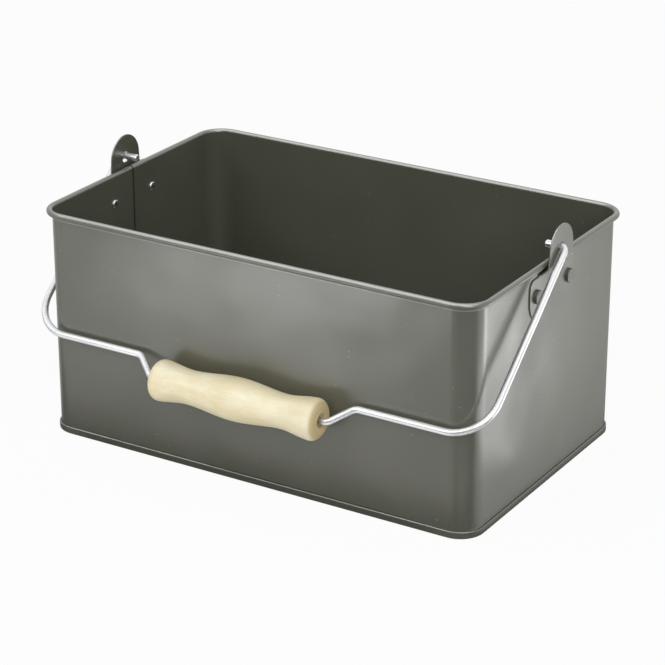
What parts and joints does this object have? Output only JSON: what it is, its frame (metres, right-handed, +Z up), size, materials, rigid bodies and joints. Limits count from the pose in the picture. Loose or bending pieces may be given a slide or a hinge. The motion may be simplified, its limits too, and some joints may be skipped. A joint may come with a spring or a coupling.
{
  "type": "table caddy",
  "caption": "Open rectangular sheet-steel table caddy with a rolled rim, riveted ears, a swinging wire bail and a turned wooden grip, for carrying things to the table.",
  "frame": {"origin": "middle of the base, on the surface that the caddy stands on", "axes": "+X along the box to the right, -Y to the front where the bail rests, +Z up"},
  "size_m": [0.263, 0.1783, 0.1365],
  "materials": {
    "painted_steel": "satin powder coat, dark grey-green",
    "rivet": "painted over outside, bare tails inside",
    "zinc_wire": "bright zinc-plated wire",
    "wood": "pale turned hardwood, lightly sanded"
  },
  "bodies": {
    "caddy": {"wall_shell": "painted_steel", "bottom_panel": "painted_steel", "ear_left": "painted_steel", "ear_right": "painted_steel", "rivet_left_front": "rivet", "rivet_left_back": "rivet", "rivet_right_front": "rivet", "rivet_right_back": "rivet"},
    "bail": {"bail_wire": "zinc_wire"},
    "grip": {"wooden_grip": "wood"}
  },
  "joints": [
    {"name": "bail_swing", "type": "hinge", "parent": "caddy", "child": "bail", "pos_m": [0, 0, 0.12525], "axis": [-1, 0, 0], "range_deg": [0, 261.4]},
    {"name": "grip_spin", "type": "hinge", "parent": "bail", "child": "grip", "pos_m": [0, -0.08795, 0.0496], "axis": [1, 0, 0], "continuous": true}
  ]
}
